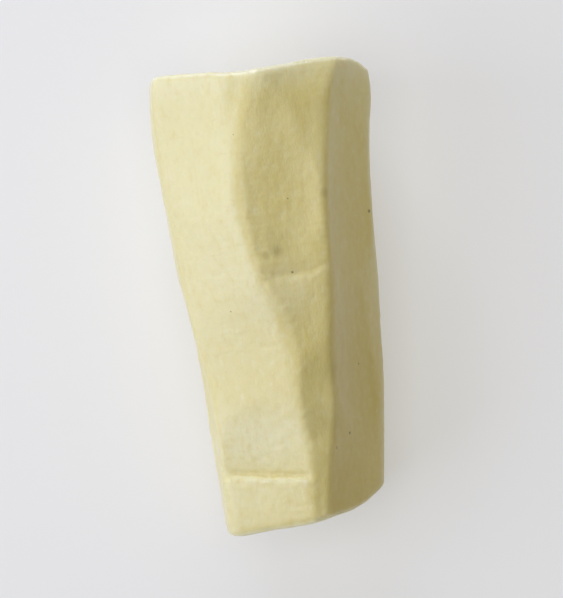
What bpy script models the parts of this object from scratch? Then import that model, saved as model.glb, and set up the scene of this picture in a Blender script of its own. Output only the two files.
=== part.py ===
"""One cut length of a peeled cassava root, lying on its side as it comes to rest on a table.

The root is a single solid. A knife took its bark off in long strokes from end to end, so its side
is nine flats that meet in soft, wandering ridges. Where the blade dipped it left a lens-shaped
scoop, and where it bit in and stopped short, a low ledge. Both ends are chopped across.

Metres, +Z up. +Y points to the thick end, +X to the right with the thick end away from the viewer.
The origin is on the table, under the middle of the root's bounding box.
"""

import math

import bmesh
import bpy
from mathutils import Matrix, Vector
from mathutils.bvhtree import BVHTree

ROOT_NAME = "peeled_cassava_root"

# Driving dimensions. "Along" is the distance from the thick end's cut, and each pair is
# (along, value). Reaches are measured from the middle line, seen from straight above.
ROOT_LENGTH = 0.1250
LEFT_REACH = (
    (0.000, 0.0305), (0.012, 0.0313), (0.026, 0.0309), (0.043, 0.0296), (0.060, 0.0284),
    (0.071, 0.0272), (0.083, 0.0252), (0.097, 0.0245), (0.108, 0.0238), (0.127, 0.0222),
)
RIGHT_REACH = (
    (0.000, 0.0301), (0.008, 0.0304), (0.019, 0.0292), (0.033, 0.0282), (0.049, 0.0276),
    (0.065, 0.0269), (0.080, 0.0262), (0.102, 0.0252), (0.117, 0.0238), (0.127, 0.0228),
)
TOP_HEIGHT = (
    (0.000, 0.0588), (0.030, 0.0574), (0.060, 0.0544), (0.090, 0.0492), (0.127, 0.0418),
)
UNDERSIDE_HEIGHT = (
    (0.000, 0.0004), (0.020, -0.0009), (0.055, -0.0017), (0.090, -0.0012), (0.127, 0.0006),
)

# The ridges between the flats, counted from the right side over the top. Each is a path of
# (along, degrees from +X towards +Z), and one of (along, how far it stands out past the smooth
# root, as a share of its half size there).
RIDGES = (
    (((0.000, 9), (0.040, 16), (0.075, 9), (0.105, 14), (0.127, 18)),
     ((0.000, 0.030), (0.127, 0.030))),
    (((0.004, 46), (0.010, 52), (0.022, 54), (0.040, 61), (0.050, 58), (0.058, 60), (0.070, 63),
      (0.084, 67), (0.106, 71), (0.122, 78)),
     ((0.000, 0.022), (0.052, 0.022), (0.068, 0.040), (0.084, 0.026), (0.127, 0.022))),
    (((0.002, 95), (0.010, 97), (0.018, 101), (0.027, 105), (0.033, 107), (0.042, 105),
      (0.050, 102), (0.058, 98), (0.068, 91), (0.077, 88), (0.090, 86), (0.122, 85)),
     ((0.000, 0.024), (0.052, 0.022), (0.068, 0.004), (0.084, 0.018), (0.127, 0.024))),
    (((0.000, 154), (0.030, 157), (0.060, 153), (0.090, 150), (0.127, 153)),
     ((0.000, 0.065), (0.127, 0.065))),
    (((0.000, 184), (0.030, 191), (0.065, 182), (0.100, 189), (0.127, 181)),
     ((0.000, 0.014), (0.127, 0.014))),
    (((0.000, 230), (0.028, 223), (0.060, 213), (0.095, 221), (0.127, 231)),
     ((0.000, 0.012), (0.060, 0.024), (0.127, 0.012))),
    (((0.000, 251), (0.045, 248), (0.090, 255), (0.127, 250)), ((0.000, 0.010), (0.127, 0.010))),
    (((0.000, 291), (0.040, 286), (0.085, 293), (0.127, 286)), ((0.000, 0.012), (0.127, 0.012))),
    (((0.000, 320), (0.028, 331), (0.060, 324), (0.090, 334), (0.127, 323)),
     ((0.000, 0.014), (0.045, 0.026), (0.127, 0.018))),
)

# How deep each flat is hollowed at its middle, in the order of the ridge that it starts from.
FLAT_HOLLOWS = (0.0002, 0.0005, -0.0002, 0.0002, 0.0004, 0.0000, 0.0001, 0.0004, 0.0001)
FLAT_FRACTIONS = (0.0, 0.09, 0.3, 0.5, 0.7, 0.91)
RIDGE_SOFTNESS = 0.65
WANDER_DEPTH = 0.00022
WANDER_LENGTHS = (0.047, 0.026)

# The chopped faces: pairs of (across, how far along the face lies there), and how much each
# face leans with height.
THICK_CUT = (
    (-0.0320, -0.0008), (-0.0160, 0.0004), (-0.0050, 0.0018), (0.0050, 0.0010),
    (0.0150, 0.0000), (0.0270, 0.0004), (0.0300, 0.0028),
)
THIN_CUT = (
    (-0.0240, 0.1276), (0.0014, 0.1250), (0.0110, 0.1232), (0.0155, 0.1218), (0.0205, 0.1188),
    (0.0245, 0.1150),
)
THICK_CUT_LEAN = -0.012
THIN_CUT_LEAN = 0.012
CUT_FACE_RINGS = (0.8, 0.55, 0.3)

RING_SPACING = 0.0026

# Shallow scoops where the blade dipped: the way each faces in degrees, and its middle along the
# root, length, width and depth.
SCOOPS = (
    (81, 0.0310, 0.046, 0.0190, 0.0008),
    (79, 0.0940, 0.021, 0.0085, 0.0005),
    (127, 0.0330, 0.060, 0.0170, 0.0004),
    (36, 0.0280, 0.058, 0.0190, 0.0008),
    (40, 0.0870, 0.052, 0.0170, 0.0008),
    (171, 0.0380, 0.060, 0.0170, 0.0010),
    (170, 0.0930, 0.046, 0.0150, 0.0009),
    (207, 0.0620, 0.066, 0.0200, 0.0012),
    (238, 0.0260, 0.044, 0.0160, 0.0009),
    (239, 0.0910, 0.050, 0.0150, 0.0010),
    (307, 0.0430, 0.062, 0.0190, 0.0012),
    (304, 0.1010, 0.040, 0.0150, 0.0009),
    (351, 0.0780, 0.060, 0.0180, 0.0011),
    (346, 0.0210, 0.036, 0.0160, 0.0008),
)
SCOOP_THICKNESS = 0.010
SCOOP_SEGMENTS = (16, 36)

# Strokes that bit in and stopped short: where each stopped and where it began, as (the way it
# faces in degrees, along), its depth at the stop, and the radius of its hollow track.
LEDGES = (
    ((123, 0.1118), (118, 0.0900), 0.0014, 0.170),
    ((86, 0.0585), (90, 0.0120), 0.0010, 0.050),
    ((202, 0.0250), (204, 0.0500), 0.0009, 0.090),
    ((348, 0.0980), (346, 0.0770), 0.0007, 0.035),
)
LEDGE_OVERRUN = 0.3
LEDGE_SEGMENTS = 120

FLESH_COLOUR = (0.83, 0.77, 0.52, 1.0)
FLESH_ROUGHNESS = 0.42


def on_curve(points, at):
    """The value at a place on the smooth curve through (place, value) points."""
    i = 0
    while i < len(points) - 2 and at > points[i + 1][0]:
        i += 1

    def slope(a, b):
        return (points[b][1] - points[a][1]) / (points[b][0] - points[a][0])

    (x0, y0), (x1, y1) = points[i], points[i + 1]
    start = slope(max(i - 1, 0), i + 1)
    end = slope(i, min(i + 2, len(points) - 1))
    width = x1 - x0
    t = (at - x0) / width
    if t < 0:
        return y0 + start * (at - x0)
    if t > 1:
        return y1 + end * (at - x1)
    rise = (1 + 2 * t) * (1 - t) ** 2 * y0 + t * t * (3 - 2 * t) * y1
    return rise + width * (t * (1 - t) ** 2 * start - t * t * (1 - t) * end)


def middle_and_half_sizes(along):
    """The middle of the root at a station, as (across, height), and its half width and height."""
    left, right = on_curve(LEFT_REACH, along), on_curve(RIGHT_REACH, along)
    top, underside = on_curve(TOP_HEIGHT, along), on_curve(UNDERSIDE_HEIGHT, along)
    middle = Vector(((right - left) / 2, (top + underside) / 2))
    return middle, Vector(((left + right) / 2, (top - underside) / 2))


def wander(flat, along):
    """How the blade rose and sank along one flat: two slow waves, with a phase for each flat."""
    long_wave, short_wave = (2 * math.pi * along / length for length in WANDER_LENGTHS)
    return WANDER_DEPTH * (math.sin(long_wave + 2.4 * flat) + 0.6 * math.sin(short_wave + 4.1 * flat))


def section(along):
    """The points round the root at a station, as (across, height), from the first ridge on."""
    middle, half = middle_and_half_sizes(along)
    corners = []
    for path, stand_out in RIDGES:
        angle = math.radians(on_curve(path, along))
        corner = Vector((half.x * math.cos(angle), half.y * math.sin(angle)))
        corners.append(middle + (1 + on_curve(stand_out, along)) * corner)
    points = []
    for flat, corner in enumerate(corners):
        edge = corners[(flat + 1) % len(corners)] - corner
        inwards = Vector((-edge.y, edge.x)).normalized()
        depth = FLAT_HOLLOWS[flat] + wander(flat, along)
        for fraction in FLAT_FRACTIONS:
            hollow = 4 * fraction * (1 - fraction) * depth
            points.append(corner + fraction * edge + hollow * inwards)
    for i in range(0, len(points), len(FLAT_FRACTIONS)):
        beside = (points[i - 1] + points[i + 1]) / 2
        points[i] = points[i].lerp(beside, RIDGE_SOFTNESS)
    return points


def cut_faces_at(across, height, along):
    """How far along the thick and the thin cut face lie at a point of the section."""
    middle, _ = middle_and_half_sizes(along)
    lean = height - middle.y
    thick = on_curve(THICK_CUT, across) + THICK_CUT_LEAN * lean
    return thick, on_curve(THIN_CUT, across) + THIN_CUT_LEAN * lean


def side_ring(share):
    """One ring of the side, a share of the way from the thick cut to the thin one."""
    ring = []
    for across, height in section(share * ROOT_LENGTH):
        thick, thin = cut_faces_at(across, height, share * ROOT_LENGTH)
        ring.append(Vector((across, -(thick + share * (thin - thick)), height)))
    return ring


def cut_face_ring(share, size):
    """One ring on the cut face at that end, shrunk towards the middle."""
    along = share * ROOT_LENGTH
    middle, _ = middle_and_half_sizes(along)
    ring = []
    for rim in section(along):
        across, height = middle + size * (rim - middle)
        ring.append(Vector((across, -cut_faces_at(across, height, along)[share > 0.5], height)))
    return ring


def add_ring(mesh, edges, place, ring):
    """Extrudes the open ring of edges, and moves its new corners to the points of the ring."""
    made = bmesh.ops.extrude_edge_only(mesh, edges=edges)["geom"]
    for item in made:
        if isinstance(item, bmesh.types.BMVert):
            item.co = ring[item[place]]
    return [item for item in made if isinstance(item, bmesh.types.BMEdge)]


def close_cut_face(mesh, edges, place, share):
    """Closes one end with rings that shrink to a point in the middle of the cut."""
    for size in CUT_FACE_RINGS:
        edges = add_ring(mesh, edges, place, cut_face_ring(share, size))
    corners = {corner for edge in edges for corner in edge.verts}
    centre = sum((corner.co for corner in corners), Vector()) / len(corners)
    bmesh.ops.pointmerge(mesh, verts=list(corners), merge_co=centre)


def peeled_body():
    """The root with its full-length flats, its two chopped ends, and the flat that it lies on."""
    mesh = bmesh.new()
    place = mesh.verts.layers.int.new("place")
    first = side_ring(0)
    corners = bmesh.ops.create_circle(mesh, segments=len(first), radius=ROOT_LENGTH)["verts"]
    for i, corner in enumerate(corners):
        corner[place] = i
        corner.co = first[i]
    thick_rim = list(mesh.edges)
    rings = round(ROOT_LENGTH / RING_SPACING)
    thin_rim = thick_rim
    for i in range(1, rings + 1):
        thin_rim = add_ring(mesh, thin_rim, place, side_ring(i / rings))
    close_cut_face(mesh, thick_rim, place, 0)
    close_cut_face(mesh, thin_rim, place, 1)
    bmesh.ops.recalc_face_normals(mesh, faces=mesh.faces)
    lie_flat(mesh)
    return mesh


def lie_flat(mesh):
    """Slices off what would reach below the table, which leaves the flat that the root rests on."""
    everything = mesh.verts[:] + mesh.edges[:] + mesh.faces[:]
    cut = bmesh.ops.bisect_plane(
        mesh, geom=everything, dist=1e-6, plane_co=(0, 0, 0), plane_no=(0, 0, -1), clear_outer=True
    )
    bmesh.ops.holes_fill(
        mesh, edges=[item for item in cut["geom_cut"] if isinstance(item, bmesh.types.BMEdge)]
    )


def surface_point(tree, degrees, along):
    """Where a line out from the middle of the root meets the surface, and which way that faces."""
    middle, _ = middle_and_half_sizes(along)
    outwards = Vector((math.cos(math.radians(degrees)), 0, math.sin(math.radians(degrees))))
    return tree.ray_cast(Vector((middle.x, -along, middle.y)), outwards)[:2]


def scoop_cutter(tree, degrees, along, length, width, depth):
    """A flat ellipsoid that dips into the surface and leaves a lens-shaped hollow."""
    touch, normal = surface_point(tree, degrees, along)
    lengthwise = (Vector((0, 1, 0)) - normal.y * normal).normalized()
    share = math.sqrt(1 - (1 - depth / SCOOP_THICKNESS) ** 2)
    sizes = Vector((width / 2 / share, length / 2 / share, SCOOP_THICKNESS))
    turn = Matrix((lengthwise.cross(normal), lengthwise, normal)).transposed()
    middle = touch + (SCOOP_THICKNESS - depth) * normal
    mesh = bmesh.new()
    bmesh.ops.create_uvsphere(
        mesh,
        u_segments=SCOOP_SEGMENTS[0],
        v_segments=SCOOP_SEGMENTS[1],
        radius=1,
        matrix=Matrix.Translation(middle) @ turn.to_4x4() @ Matrix.Diagonal(sizes).to_4x4(),
    )
    return mesh


def ledge_cutter(tree, stop, start, depth, hollow):
    """A wide cylinder that sinks towards its end, where the blade stopped."""
    end, normal = surface_point(tree, *stop)
    begin, _ = surface_point(tree, *start)
    end -= depth * normal
    path = begin - end
    across = path.cross(normal).normalized()
    up = across.cross(path).normalized()
    length = path.length * (1 + LEDGE_OVERRUN)
    middle = end + path.normalized() * length / 2 + up * hollow
    turn = Matrix((across, up, path.normalized())).transposed()
    mesh = bmesh.new()
    bmesh.ops.create_cone(
        mesh,
        cap_ends=True,
        segments=LEDGE_SEGMENTS,
        radius1=hollow,
        radius2=hollow,
        depth=length,
        matrix=Matrix.Translation(middle) @ turn.to_4x4(),
    )
    return mesh


def object_from(mesh, name):
    """Turns a bmesh into an object in the scene."""
    data = bpy.data.meshes.new(name)
    mesh.to_mesh(data)
    mesh.free()
    made = bpy.data.objects.new(name, data)
    bpy.context.scene.collection.objects.link(made)
    return made


def cut_marks(root, tree):
    """Cuts the scoops and ledges out of the root, and keeps the result as its mesh."""
    meshes = [scoop_cutter(tree, *scoop) for scoop in SCOOPS]
    meshes += [ledge_cutter(tree, *ledge) for ledge in LEDGES]
    cutters = []
    for i, mesh in enumerate(meshes):
        bmesh.ops.recalc_face_normals(mesh, faces=mesh.faces)
        cutter = object_from(mesh, f"mark_{i + 1}")
        cutter.hide_render = True
        cutter.display_type = "WIRE"
        cutters.append(cutter)
        modifier = root.modifiers.new(cutter.name, "BOOLEAN")
        modifier.object = cutter
        modifier.operation = "DIFFERENCE"
        modifier.solver = "EXACT"
    cut = bpy.data.meshes.new_from_object(root.evaluated_get(bpy.context.evaluated_depsgraph_get()))
    root.modifiers.clear()
    root.data = cut
    for cutter in cutters:
        bpy.data.objects.remove(cutter)


def put_origin_under_middle(root):
    """Moves the mesh so that the origin is on the table, under the middle of its box."""
    low, high = (
        Vector([pick(v.co[axis] for v in root.data.vertices) for axis in range(3)])
        for pick in (min, max)
    )
    middle = (low + high) / 2
    root.data.transform(Matrix.Translation((-middle.x, -middle.y, -low.z)))


def flesh():
    """The moist, pale yellow flesh."""
    material = bpy.data.materials.new("cassava_flesh")
    material.use_nodes = True
    shader = material.node_tree.nodes["Principled BSDF"]
    shader.inputs["Base Color"].default_value = FLESH_COLOUR
    shader.inputs["Roughness"].default_value = FLESH_ROUGHNESS
    shader.inputs["Metallic"].default_value = 0.0
    return material


def main():
    for leftover in list(bpy.data.objects):
        bpy.data.objects.remove(leftover)
    mesh = peeled_body()
    tree = BVHTree.FromBMesh(mesh)
    root = object_from(mesh, ROOT_NAME)
    cut_marks(root, tree)
    put_origin_under_middle(root)
    root.data.materials.clear()
    root.data.materials.append(flesh())
    root.data.shade_smooth()
    root.data.set_sharp_from_angle(angle=math.radians(30))


main()
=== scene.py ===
"""One peeled length of cassava root on a pale table, seen from straight above."""

import math
import random

import bmesh
import bpy
import numpy
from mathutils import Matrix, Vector, noise
from mathutils.bvhtree import BVHTree


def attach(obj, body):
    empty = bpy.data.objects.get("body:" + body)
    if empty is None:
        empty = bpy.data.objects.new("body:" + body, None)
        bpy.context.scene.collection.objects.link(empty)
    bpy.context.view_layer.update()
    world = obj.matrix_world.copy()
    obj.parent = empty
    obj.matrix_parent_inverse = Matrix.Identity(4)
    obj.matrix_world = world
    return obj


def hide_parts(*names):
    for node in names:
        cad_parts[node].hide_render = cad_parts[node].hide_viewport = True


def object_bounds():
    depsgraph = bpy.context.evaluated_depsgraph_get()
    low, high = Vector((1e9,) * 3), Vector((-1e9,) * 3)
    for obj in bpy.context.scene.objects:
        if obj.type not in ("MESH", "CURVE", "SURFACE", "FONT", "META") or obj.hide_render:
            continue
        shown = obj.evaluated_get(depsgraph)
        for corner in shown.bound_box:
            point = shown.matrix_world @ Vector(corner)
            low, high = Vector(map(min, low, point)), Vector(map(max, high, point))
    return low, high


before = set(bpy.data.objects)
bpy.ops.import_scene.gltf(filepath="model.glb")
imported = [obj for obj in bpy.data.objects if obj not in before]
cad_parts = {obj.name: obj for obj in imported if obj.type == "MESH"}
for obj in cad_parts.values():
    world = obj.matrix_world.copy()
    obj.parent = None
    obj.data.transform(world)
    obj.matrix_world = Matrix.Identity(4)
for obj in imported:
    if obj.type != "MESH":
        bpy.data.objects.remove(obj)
cad_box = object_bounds()


# The body of the root. It is one solid length of flesh: a knife took its bark off in long
# strokes, so it has broad flats with soft ridges between them. Its surface is remade here in
# fine, even faces, which the small knife marks need.
NODE = "peeled_cassava_root"
half_length, top = cad_box[1].y, cad_box[1].z
MERGE_REACH = 1e-5
FACE_SIZE = 0.00058
# Rounding passes over the whole skin, and more over the rims of the two chops.
SKIN_ROUNDING = 9
RIM_ROUNDING = 22
RIM_REACH = 0.004
# The crest of the upper flats is worn softer near the thick end: where it runs, as (from the
# thick end, across), the half width of the wear, how blunt its middle is, its depth, how far
# below the top it ends and is full, and how far from the thick end it fades.
CREST = ((0.0, -0.0030), (0.010, -0.0058), (0.022, -0.0080), (0.033, -0.0095), (0.048, -0.0078))
WEAR_HALF_WIDTH = 0.0070
WEAR_BLUNTNESS = 0.3
WEAR_DEPTH = 0.0022
WEAR_LEVELS = (0.014, 0.004)
WEAR_FADE = (0.006, 0.046)


def ramp(value, low, high):
    """0 below low, 1 above high, and a soft rise between."""
    t = min(max((value - low) / (high - low), 0), 1)
    return t * t * (3 - 2 * t)


def crest_wear(place):
    """How far the crest near the thick end is worn down at a place."""
    from_thick_end = half_length - place.y
    crest = numpy.interp(from_thick_end, *zip(*CREST))
    share = max(1 - math.hypot((place.x - crest) / WEAR_HALF_WIDTH, WEAR_BLUNTNESS), 0) ** 2
    share *= ramp(place.z, top - WEAR_LEVELS[0], top - WEAR_LEVELS[1])
    return WEAR_DEPTH * share * (1 - ramp(from_thick_end, *WEAR_FADE))


def soften(verts, passes, factor=0.5):
    """Draws each point towards its neighbours, a number of times."""
    for _ in range(passes):
        bmesh.ops.smooth_vert(
            shape, verts=verts, factor=factor, use_axis_x=True, use_axis_y=True, use_axis_z=True
        )


shape = bmesh.new()
shape.from_mesh(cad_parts[NODE].data)
bmesh.ops.remove_doubles(shape, verts=shape.verts, dist=MERGE_REACH)
rough_mesh = bpy.data.meshes.new("rough_flesh")
shape.to_mesh(rough_mesh)
shape.free()
root = bpy.data.objects.new("root_flesh", rough_mesh)
bpy.context.scene.collection.objects.link(root)
even_faces = root.modifiers.new("even_faces", "REMESH")
even_faces.mode = "VOXEL"
even_faces.voxel_size = FACE_SIZE
even_faces.use_smooth_shade = True
fine_mesh = bpy.data.meshes.new_from_object(
    root.evaluated_get(bpy.context.evaluated_depsgraph_get())
)
root.modifiers.clear()
root.data = fine_mesh
fine_mesh.name = "root_flesh"

shape = bmesh.new()
shape.from_mesh(fine_mesh)
near_rims = [v for v in shape.verts if abs(v.co.y) > half_length - RIM_REACH]
soften(shape.verts, SKIN_ROUNDING)
soften(near_rims, RIM_ROUNDING)
for v in shape.verts:
    v.co.z -= crest_wear(v.co)
shape.normal_update()


# The small marks of the knife in the flesh. The blade rocked, so a broad flat has low creases
# along it, and side-by-side tracks too shallow to see but for their edges. The two chops
# through the root left low waves across its ends, and chipped their rims.
TRACK_WIDTH = 0.0085
TRACK_LENGTH = 0.058
TRACK_DEPTH = 0.00016
TRACK_DRIFT = 0.25
DRIFT_LENGTH = 0.03
SWELL_SIZE = 0.011
SWELL_HEIGHT = 0.00016
CRUMB_SIZE = 0.0016
CRUMB_HEIGHT = 0.00006
CHOP_SIZE = (0.006, 0.022)
CHOP_SLANT = (0.8, 0.6)
CHOP_HEIGHT = 0.00022
CHIP_SIZE = 0.0045
CHIP_DEPTH = 0.0007
# Creases of the upper flats: (across, from the thick end), how far each reaches to the left,
# the right and along, and its depth.
CREASES = (
    (0.0052, 0.029, 0.0130, 0.0085, 0.030, 0.00011),
    (-0.0165, 0.033, 0.0090, 0.0080, 0.034, 0.00022),
    (0.0210, 0.030, 0.0060, 0.0060, 0.028, 0.00020),
    (0.0165, 0.083, 0.0060, 0.0070, 0.030, 0.00022),
)
WOBBLE = 0.0012
WOBBLE_LENGTH = 0.013
# Low swells in the hollows of the middle flat, where the blade rode up: (across, from the thick
# end), half the width and the length of each, and its height.
SWELLS = (
    (0.0022, 0.038, 0.0110, 0.025, 0.00056),
    (0.0062, 0.092, 0.0065, 0.022, 0.00045),
)
# Lips that the blade pushed up where it stopped, at the ledge near the thin end and at the end
# of the middle hollow: the left and right end of each as (across, from the thick end), how far
# it sags between them, and its height.
LIPS = (
    ((-0.0191, 0.1109), (0.0024, 0.1133), 0.0000, 0.00042),
    ((-0.0050, 0.0568), (0.0137, 0.0566), 0.0018, 0.00017),
)
LIP_WIDTH = 0.0008
LIP_RAGGED = 0.0005
RAGGED_LENGTH = 0.0022
TEAR_LENGTH = 0.0035
# How far the skin faces up where the creases, swells and lips lie, and how far it faces along
# the root where a chopped end takes over, for the marks and for the colour.
FACES_UP = 0.2
END_MARKS = (0.6, 0.85)
END_COLOUR = (0.75, 0.93)
# Nicks: short crescents where a stroke ended.
NICK_COUNT = 44
NICK_SPAN = (0.0016, 0.0046)
NICK_BEND = 0.011
NICK_WIDTH = 0.0006
NICK_HEIGHT = 0.00008


def lip(across, from_thick_end, left, right, sag, height):
    """How far one lip raises the flesh, with the groove just before it."""
    share = (across - left[0]) / (right[0] - left[0])
    if not -0.1 < share < 1.1:
        return 0
    line = left[1] + share * (right[1] - left[1]) + 4 * sag * share * (1 - share)
    line += LIP_RAGGED * noise.noise(Vector((across / RAGGED_LENGTH, height * 1e4, 0)))
    tear = 0.5 + 0.5 * noise.noise(Vector((across / TEAR_LENGTH, height * 1e4, 7)))
    past = (from_thick_end - line) / (LIP_WIDTH * (0.7 + 0.5 * tear))
    fade = ramp(share, -0.05, 0.08) * (1 - ramp(share, 0.92, 1.03))
    raised = (0.35 + tear) * math.exp(-((past - 0.7) ** 2))
    return height * fade * (raised - 0.8 * math.exp(-((past + 0.9) ** 2)))


def nick_places():
    """Where the nicks lie, and half the span and the height of each."""
    pick = random.Random(7)
    skin = BVHTree.FromBMesh(shape)
    nicks = []
    for _ in range(NICK_COUNT):
        turn = pick.uniform(0, math.tau)
        station = Vector((0, half_length * pick.uniform(-0.9, 0.9), top / 2))
        spot, facing, _, _ = skin.ray_cast(station, Vector((math.cos(turn), 0, math.sin(turn))))
        size = pick.uniform(0.4, 1.0)
        span = NICK_SPAN[0] + (NICK_SPAN[1] - NICK_SPAN[0]) * size
        nicks.append((spot, Vector((0, 1, 0)).cross(facing), span, NICK_HEIGHT * size))
    return nicks


def nick(place, spot, across, span, height):
    """How far one nick raises the flesh at a place: a thin crescent lip with a groove above it."""
    aside = (place - spot).dot(across)
    past = (spot.y - place.y + aside * aside / (2 * NICK_BEND)) / NICK_WIDTH
    fade = max(1 - (aside / span) ** 2, 0)
    return height * fade * (math.exp(-((past - 0.7) ** 2)) - math.exp(-((past + 0.9) ** 2)))


def knife_marks(place, facing):
    """How far the flesh stands out at a place."""
    on_end = ramp(abs(facing.y), *END_MARKS)
    drift = noise.noise(place / DRIFT_LENGTH) * TRACK_DRIFT
    along_track = place.y / TRACK_LENGTH + drift
    track_place = Vector((place.x / TRACK_WIDTH, along_track, place.z / TRACK_WIDTH))
    nearest = noise.voronoi(track_place)[0][0]
    side = TRACK_DEPTH * (min(nearest, 1.0) ** 2 - 0.3)
    side += SWELL_HEIGHT * noise.noise(Vector((place.x, place.y / 2, place.z)) / SWELL_SIZE)
    if facing.z > FACES_UP:
        wobble = WOBBLE * noise.noise(Vector((0, place.y, 0)) / WOBBLE_LENGTH)
        for across, from_thick_end, left, right, reach, depth in CREASES:
            beside = place.x - across + wobble
            share = 1 - abs(beside) / (left if beside < 0 else right)
            share *= 1 - ramp(abs(half_length - place.y - from_thick_end) / reach, 0.75, 1)
            side -= depth * max(share, 0)
        for across, from_thick_end, half_width, half_reach, height in SWELLS:
            aside = (place.x - across + wobble) / half_width
            ahead = abs(half_length - place.y - from_thick_end) / half_reach
            side += height * max(1 - aside * aside, 0) ** 2 * (1 - ramp(ahead, 0.55, 1))
    for spot, across, span, height in nicks:
        if (place - spot).length_squared < span * span:
            side += nick(place, spot, across, span, height)
    slanted = place.x * CHOP_SLANT[0] + place.z * CHOP_SLANT[1]
    level = place.z * CHOP_SLANT[0] - place.x * CHOP_SLANT[1]
    end = CHOP_HEIGHT * noise.noise(Vector((slanted / CHOP_SIZE[0], 0, level / CHOP_SIZE[1])))
    on_rim = 4 * on_end * (1 - on_end)
    chip = on_rim * CHIP_DEPTH * ramp(noise.noise(place / CHIP_SIZE), 0.05, 0.6)
    return side + on_end * (end - side) - chip + CRUMB_HEIGHT * noise.noise(place / CRUMB_SIZE)


nicks = nick_places()
lip_rises = [
    sum(lip(v.co.x, half_length - v.co.y, *one) for one in LIPS) if v.normal.z > FACES_UP else 0
    for v in shape.verts
]
moves = [(knife_marks(v.co, v.normal) + rise) * v.normal for v, rise in zip(shape.verts, lip_rises)]
on_ends = [ramp(abs(v.normal.y), *END_COLOUR) for v in shape.verts]
for v, move in zip(shape.verts, moves):
    v.co += move
    v.co.z = max(v.co.z, 0)
soften(shape.verts, 1, 0.4)
shape.to_mesh(fine_mesh)
touch = BVHTree.FromBMesh(shape)
shape.free()
fine_mesh.shade_smooth()


# How hollow or raised the flesh is at each point, which its colour follows: the hollows take a
# painted shade, and the ridges a painted highlight.
HOLLOW_SPREAD = 30
HOLLOW_DEPTH = 0.0004

count = len(fine_mesh.vertices)
points = numpy.empty(count * 3)
fine_mesh.vertices.foreach_get("co", points)
points = points.reshape(-1, 3)
outwards = numpy.empty(count * 3)
fine_mesh.vertex_normals.foreach_get("vector", outwards)
outwards = outwards.reshape(-1, 3)
ends = numpy.empty(len(fine_mesh.edges) * 2, dtype=numpy.int32)
fine_mesh.edges.foreach_get("vertices", ends)
ends = ends.reshape(-1, 2)
both = numpy.concatenate([ends, ends[:, ::-1]])
neighbours = numpy.bincount(both[:, 0], minlength=count)


def blurred(values, times):
    """The values of the points, each averaged with its neighbours a number of times."""
    for _ in range(times):
        values = (values + numpy.bincount(both[:, 0], values[both[:, 1]], count) / neighbours) / 2
    return values


spread = numpy.stack([blurred(points[:, k], HOLLOW_SPREAD) for k in range(3)], axis=1)
hollow = numpy.einsum("ij,ij->i", spread - points, outwards)
on_ends = numpy.array(on_ends)

# How pale each point is painted, and how much painted shade it takes. The paleness is mostly
# painted
# highlight: on the flats that face up and left, along the rims of the chops, in a band by the thick
# end, on the lips, and on a few patches: the middle of each (across, from the thick end), its half
# sizes and how pale it is. The first patch is a painted highlight on the scoop at the ledge; the
# other two are just paler. The painted shade lies on the flats that face right, most of all beside
# their upper ridge and towards the thin end.
PALE_PATCHES = (
    (-0.0110, 0.1010, 0.0130, 0.0090, 0.58),
    (0.0010, 0.0620, 0.0080, 0.0095, 0.38),
    (0.0050, 0.0020, 0.0110, 0.0060, 0.45),
)
RIM_SPREAD = 22
LEFT_HIGHLIGHT = 0.38
RIM_HIGHLIGHT = 0.8
THICK_END_HIGHLIGHT = 0.35
LIP_HIGHLIGHT = 0.5
LIP_HIGHLIGHT_HEIGHT = 0.00040

leftwards = -blurred(outwards[:, 0], HOLLOW_SPREAD)
from_cut = half_length - points[:, 1]
# Painted highlight along the rims of the chops.
rim_highlight = numpy.interp(blurred(on_ends, RIM_SPREAD), (0.10, 0.32), (0, 1)) * (1 - on_ends)
# Painted highlight on the flats that face up and left, towards the low lamp.
highlight_and_paleness = numpy.interp(leftwards, (0.15, 0.5), (0, LEFT_HIGHLIGHT))
highlight_and_paleness *= numpy.interp(from_cut, (0.055, 0.085, 0.110, 0.116), (1, 0.3, 0.3, 0.9))
for across, from_thick_end, half_width, half_reach, pale in PALE_PATCHES:
    to_patch = ((points[:, 0] - across) / half_width) ** 2
    to_patch += ((from_cut - from_thick_end) / half_reach) ** 2
    highlight_and_paleness += pale * numpy.exp(-to_patch) * numpy.clip(outwards[:, 2] / 0.5, 0, 1)
highlight_and_paleness += RIM_HIGHLIGHT * rim_highlight
near_cut = numpy.interp(from_cut, (0.001, 0.009), (1, 0))
# Painted highlight in a band along the thick end, and on the crests of the lips.
highlight_and_paleness += THICK_END_HIGHLIGHT * near_cut * (outwards[:, 2] > 0)
highlight_and_paleness += LIP_HIGHLIGHT * numpy.clip(numpy.array(lip_rises) / LIP_HIGHLIGHT_HEIGHT, 0, 1)
# Painted shade on the flats that face right, away from the low lamp, deepest beside their upper
# ridge and towards the thin end.
painted_shade = numpy.interp(-leftwards, (0.35, 0.60), (0, 1))
painted_shade *= numpy.interp(points[:, 1] / half_length, (-0.3, 0.9), (1, 0.2))
painted_shade *= numpy.interp(points[:, 0], (0.015, 0.026), (1, 0.62))


# Where each point of a chopped end lies from the core strand, as a share of the way to the rim.
# The strand is a little off the middle.
CORE_OFFSET = (0.0015, -0.0010)
SECTORS = 120

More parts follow.
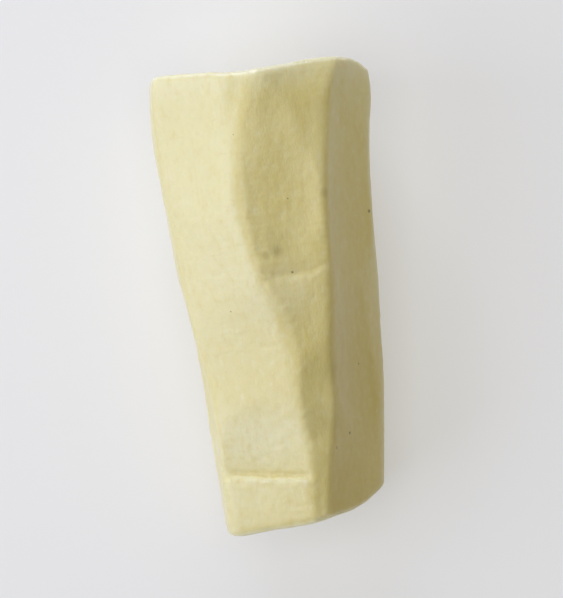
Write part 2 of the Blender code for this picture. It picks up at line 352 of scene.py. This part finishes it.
from_core = numpy.zeros((count, 3))
for side in (-1, 1):
    face = numpy.flatnonzero((on_ends > 0.05) & (outwards[:, 1] * side > 0))
    flat = points[face][:, [0, 2]]
    flat = flat - (flat.min(0) + flat.max(0)) / 2 - side * numpy.array(CORE_OFFSET)
    reach = numpy.hypot(flat[:, 0], flat[:, 1])
    turn = numpy.arctan2(flat[:, 1], flat[:, 0]) / math.tau + 0.5
    sector = (turn * SECTORS).astype(int) % SECTORS
    rim_reach = numpy.zeros(SECTORS)
    numpy.maximum.at(rim_reach, sector, reach)
    from_core[face, 0] = flat[:, 0] / rim_reach[sector]
    from_core[face, 2] = flat[:, 1] / rim_reach[sector]
for name, values in (
    ("hollow", hollow / HOLLOW_DEPTH),
    ("highlight_and_paleness", highlight_and_paleness),
    ("painted_shade", painted_shade),
    ("on_end", on_ends),
):
    layer = fine_mesh.attributes.new(name, "FLOAT", "POINT")
    layer.data.foreach_set("value", values.astype(numpy.float32))
layer = fine_mesh.attributes.new("from_core", "FLOAT_VECTOR", "POINT")
layer.data.foreach_set("vector", from_core.astype(numpy.float32).ravel())


# The flesh itself: pale cream, starchy and moist. Fibres run along the root, and are seen end
# on at the chops. A few small dark flecks of the inner bark are left. The patterns are scaled
# in grains per metre across, along and up the root.
CREAM = (0.78, 0.679, 0.262, 1)
JUICE_AND_SHADE = (0.73, 0.594, 0.178, 1)
PAINTED_SHADE_TINT = (0.85, 0.80, 0.67, 1)
CHALK = (0.83, 0.754, 0.372, 1)
PITH_AND_HIGHLIGHT = (0.87, 0.832, 0.538, 1)
FIBRE = (0.68, 0.55, 0.18, 1)
FLECK = (0.16, 0.13, 0.05, 1)
BRUISE = (0.36, 0.29, 0.06, 1)
STRAND = (0.66, 0.53, 0.24, 1)


class Flow:
    """A value on its way through a material. Sums on it add Math nodes."""

    def __init__(self, tree, socket=None):
        self.tree = tree
        self.socket = socket

    def node(self, kind, sockets, output=0, **settings):
        """Adds a node, sets it up, then fills its sockets, by name or number."""
        made = self.tree.nodes.new("ShaderNode" + kind)
        for name, value in settings.items():
            setattr(made, name, value)
        for name, value in sockets.items():
            if isinstance(value, Flow):
                self.tree.links.new(value.socket, made.inputs[name])
            else:
                made.inputs[name].default_value = value
        return Flow(self.tree, made.outputs[output])

    def maths(self, operation, *terms):
        return self.node("Math", dict(enumerate(terms)), operation=operation)

    def __add__(self, other):
        return self.maths("ADD", self, other)

    def __sub__(self, other):
        return self.maths("SUBTRACT", self, other)

    def __rsub__(self, other):
        return self.maths("SUBTRACT", other, self)

    def __mul__(self, other):
        return self.maths("MULTIPLY", self, other)

    __radd__ = __add__
    __rmul__ = __mul__

    def sine(self):
        return self.maths("SINE", self)

    def rise(self, low, high):
        """0 below low, 1 above high, and a soft rise between."""
        sockets = {"Value": self, "From Min": low, "From Max": high, "To Min": 0.0, "To Max": 1.0}
        return self.node("MapRange", sockets, interpolation_type="SMOOTHSTEP")

    def scaled(self, x, y, z):
        """A place multiplied along each axis."""
        return self.node("VectorMath", {0: self, 1: (x, y, z)}, operation="MULTIPLY")

    def shifted(self, other):
        """A place moved by another one."""
        return self.node("VectorMath", {0: self, 1: other}, operation="ADD")

    def grain(self, detail=2.0, roughness=0.5):
        """Noise from 0 to 1 at a place that is already scaled."""
        sockets = {"Vector": self, "Scale": 1.0, "Detail": detail, "Roughness": roughness}
        return self.node("TexNoise", sockets)

    def mixed(self, other, share, blend="MIX"):
        """A colour with a share of another one."""
        return self.mix(self, other, share, blend)

    def mix(self, colour, other, share, blend="MIX"):
        """Two colours in one Mix node, which takes them on its sockets 6 and 7."""
        sockets = {0: share, 6: colour, 7: other}
        return self.node("Mix", sockets, output=2, data_type="RGBA", blend_type=blend)

    def attribute(self, name, output="Fac"):
        """What the mesh says at each point."""
        return self.node("Attribute", {}, output, attribute_name=name)


flesh = bpy.data.materials.new("cassava_flesh")
flesh.use_nodes = True
flow = Flow(flesh.node_tree)
place = flow.node("TexCoord", {}, output="Object")
along = flow.node("SeparateXYZ", {"Vector": place}, output=1)
hollow_here = flow.attribute("hollow")
end_here = flow.attribute("on_end")

fibres = place.scaled(1500, 60, 1500).grain(detail=3, roughness=0.6)
streaks = place.scaled(420, 22, 420).grain(detail=2)
patches = place.scaled(75, 40, 75).grain(detail=3)
crumb = place.scaled(520, 340, 520).grain(detail=4, roughness=0.65)
dashes = place.scaled(330, 900, 330).grain(detail=3, roughness=0.6)
pores = place.scaled(1900, 1500, 1900).grain(detail=1)
ripple_drift = place.scaled(160, 90, 160).grain(detail=1)
ripple_spots = place.scaled(60, 45, 60).grain().rise(0.46, 0.62)
ripples = (along * 3700 + ripple_drift * 9).sine() * ripple_spots

tone = flow.mix(CREAM, CHALK, patches.rise(0.42, 0.68) * 0.45)
# Painted highlight: the pale mask whitens the left flats, the rims, the band by the thick end, the
# lips and the scoop.
tone = tone.mixed(PITH_AND_HIGHLIGHT, flow.attribute("highlight_and_paleness"))
# Painted shade in the hollows, and painted highlight on the ridges.
tone = tone.mixed(JUICE_AND_SHADE, hollow_here.rise(0.0, 1.0) * 0.45)
tone = tone.mixed(PITH_AND_HIGHLIGHT, (0 - hollow_here).rise(0.15, 1.2) * 0.30)
tone = tone.mixed(JUICE_AND_SHADE, crumb.rise(0.5, 0.75) * 0.35)
tone = tone.mixed(PITH_AND_HIGHLIGHT, crumb.rise(0.5, 0.25) * 0.35)
tone = tone.mixed(JUICE_AND_SHADE, dashes.rise(0.58, 0.76) * 0.25)
tone = tone.mixed(JUICE_AND_SHADE, streaks.rise(0.58, 0.75) * 0.30)
tone = tone.mixed(FIBRE, fibres.rise(0.64, 0.78) * 0.10)
# Painted shade over the flats that face right.
tone = tone.mixed(PAINTED_SHADE_TINT, flow.attribute("painted_shade"), blend="MULTIPLY")

# The chopped ends: a tough strand at the core, rays out from it through the starchy flesh, and a
# faint ring of the growing layer just inside the rim.
core_place = flow.attribute("from_core", output="Vector")
out_here = flow.node("VectorMath", {0: core_place}, output="Value", operation="LENGTH")
way_out = flow.node("VectorMath", {0: core_place}, operation="NORMALIZE")
rays = way_out.scaled(34, 0, 34).shifted(core_place.scaled(3, 0, 3)).grain(detail=3, roughness=0.6)
wide_rays = way_out.scaled(7, 0, 7).shifted(core_place).grain(detail=2)
ring_place = out_here + (wide_rays - 0.5) * 0.10
ring = ring_place.rise(0.78, 0.86) * (1 - ring_place.rise(0.86, 0.94))
strand_place = out_here + (wide_rays - 0.5) * 0.08 + (rays - 0.5) * 0.05
core = 1 - strand_place.rise(0.020, 0.060)
halo = 1 - strand_place.rise(0.04, 0.20)
tone = tone.mixed(PITH_AND_HIGHLIGHT, end_here * 0.45)
tone = tone.mixed(JUICE_AND_SHADE, end_here * rays.rise(0.52, 0.72) * out_here.rise(0.0, 0.5) * 0.35)
tone = tone.mixed(PITH_AND_HIGHLIGHT, end_here * rays.rise(0.48, 0.30) * 0.50)
tone = tone.mixed(JUICE_AND_SHADE, end_here * ring * 0.35)
tone = tone.mixed(FIBRE, end_here * halo * 0.30)
tone = tone.mixed(STRAND, end_here * core * 0.80)

# Flecks: where each lies as (across, from the thick end), and its size.
FLECKS = (
    (0.0265, 0.0428, 0.00060), (0.0145, 0.1024, 0.00055), (0.0037, 0.0573, 0.00045),
    (0.0046, 0.0375, 0.00030), (-0.0140, 0.0660, 0.00025), (0.0190, 0.0840, 0.00030),
    (-0.0080, 0.0190, 0.00022),
)
# Bruises: soft stains under the surface. Each has its place, its size, and how dark it is.
BRUISES = (
    (0.0003, 0.0512, 0.0021, 0.50), (-0.0030, 0.0520, 0.0014, 0.36), (0.0147, 0.0370, 0.0019, 0.30),
    (0.0110, 0.0850, 0.0042, 0.18), (0.0010, 0.0485, 0.0052, 0.14), (0.0075, 0.0990, 0.0065, 0.22),
)
FLECK_DARKNESS = 0.7
FLECK_HEART = 0.35
ABOVE_ROOT = 0.1
stains = [(*bruise, BRUISE, 0.0) for bruise in BRUISES]
stains += [(*fleck, FLECK_DARKNESS, FLECK, FLECK_HEART) for fleck in FLECKS]
for across, from_thick_end, size, dark, colour, heart in stains:
    above = Vector((across, half_length - from_thick_end, ABOVE_ROOT))
    spot = touch.ray_cast(above, Vector((0, 0, -1)))[0]
    gap = flow.node("VectorMath", {0: place, 1: spot}, output="Value", operation="DISTANCE")
    wander = (ripple_drift - 0.5) * size
    tone = tone.mixed(colour, (1 - (gap + wander).rise(size * heart, size * 1.1)) * dark)

# Tiny specks lie all round, each in a cell of its own, and only in a few of the cells.
cells = {"Vector": place.scaled(95, 55, 95), "Scale": 1.0}
to_speck = flow.node("TexVoronoi", cells, output="Distance")
luck = flow.node("SeparateColor", {"Color": flow.node("TexVoronoi", cells, output="Color")})
speck = (1 - to_speck.rise(0.012, 0.045)) * luck.rise(0.80, 0.84) * (1 - end_here)
tone = tone.mixed(FLECK, speck * 0.55)

# The finest relief, in metres, and the shine, which is dullest in the pores.
relief = fibres * 0.00004 + pores * 0.00003 + ripples * 0.00001
relief = relief + streaks * 0.00004 + crumb * 0.00016
relief = relief + end_here * (rays * 0.00014 + core * 0.00012)
bump = flow.node("Bump", {"Height": relief, "Distance": 1.0, "Strength": 1.0})
shine = 0.36 + patches * 0.12 + pores * 0.08

surface = flesh.node_tree.nodes["Principled BSDF"]
flesh.node_tree.links.new(tone.socket, surface.inputs["Base Color"])
flesh.node_tree.links.new(shine.socket, surface.inputs["Roughness"])
flesh.node_tree.links.new(bump.socket, surface.inputs["Normal"])
surface.inputs["Subsurface Weight"].default_value = 0.30
surface.inputs["Subsurface Radius"].default_value = (0.0018, 0.0013, 0.0006)
surface.inputs["Subsurface Scale"].default_value = 1.0
surface.inputs["Coat Weight"].default_value = 0.8
surface.inputs["Coat Roughness"].default_value = 0.38

fine_mesh.materials.clear()
fine_mesh.materials.append(flesh)
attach(root, "root")
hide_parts(NODE)


# The table top: plain pale board, wide enough to fill the view. It glows a little, so that it
# stays as pale as paper under the soft light.
TABLE_SIZE = 4.0
TABLE_GAP = 0.0001
TABLE_COLOUR = (0.52, 0.52, 0.52, 1)
TABLE_ROUGHNESS = 0.8
GLOW_COLOUR = (1, 1, 1, 1)
TABLE_GLOW = 0.35

shape = bmesh.new()
bmesh.ops.create_grid(shape, x_segments=1, y_segments=1, size=TABLE_SIZE / 2)
bmesh.ops.translate(shape, verts=shape.verts, vec=(0, 0, -TABLE_GAP))
table_mesh = bpy.data.meshes.new("table_top")
shape.to_mesh(table_mesh)
shape.free()
table = bpy.data.objects.new("table_top", table_mesh)
bpy.context.scene.collection.objects.link(table)
paint = bpy.data.materials.new("pale_paint")
paint.use_nodes = True
coat = paint.node_tree.nodes["Principled BSDF"]
coat.inputs["Base Color"].default_value = TABLE_COLOUR
coat.inputs["Roughness"].default_value = TABLE_ROUGHNESS
coat.inputs["Emission Color"].default_value = GLOW_COLOUR
coat.inputs["Emission Strength"].default_value = TABLE_GLOW
table_mesh.materials.append(paint)


# The light: one large soft lamp low on the left makes the left flats bright and the right ones
# dim, one beyond the thick end picks out its rim, one high overhead fills the middle, and the
# room gives an even glow. Each lamp has its place, its size, its power and its colour.
COOL = (0.92, 0.98, 1.22)
WARM = (1.05, 1.00, 0.90)
LAMPS = (
    ("key", (-0.81, -0.14, 0.46), 0.80, 4.2, COOL),
    ("rim", (-0.12, 0.83, 0.32), 0.45, 3.7, COOL),
    ("top", (-0.10, 0.00, 1.40), 0.80, 4.8, WARM),
)
LIT_SPOT = (0, 0, 0.03)
ROOM_STRENGTH = 0.20

for name, spot, size, power, colour in LAMPS:
    light = bpy.data.lights.new(name, "AREA")
    light.shape = "SQUARE"
    light.size = size
    light.energy = power
    light.color = colour
    lamp = bpy.data.objects.new(name, light)
    bpy.context.scene.collection.objects.link(lamp)
    lamp.location = spot
    aim = Vector(LIT_SPOT) - Vector(spot)
    lamp.rotation_euler = aim.to_track_quat("-Z", "Y").to_euler()
    lamp.visible_camera = False

room = bpy.data.worlds.new("room")
room.use_nodes = True
room.node_tree.nodes["Background"].inputs["Color"].default_value = (*WARM, 1)
room.node_tree.nodes["Background"].inputs["Strength"].default_value = ROOM_STRENGTH
bpy.context.scene.world = room
bpy.context.scene.view_settings.view_transform = "Standard"


# The camera looks straight down. It is turned a little, so the thick end leans to the left.
CAMERA_HEIGHT = 0.90
CAMERA_LENS = 190
CAMERA_SENSOR = 36
CAMERA_TURN = -6.3

camera = bpy.data.cameras.new("camera")
camera.lens = CAMERA_LENS
camera.sensor_width = CAMERA_SENSOR
camera_holder = bpy.data.objects.new("camera", camera)
bpy.context.scene.collection.objects.link(camera_holder)
camera_holder.location = (0, 0, CAMERA_HEIGHT)
camera_holder.rotation_euler = (0, 0, math.radians(CAMERA_TURN))
bpy.context.scene.camera = camera_holder
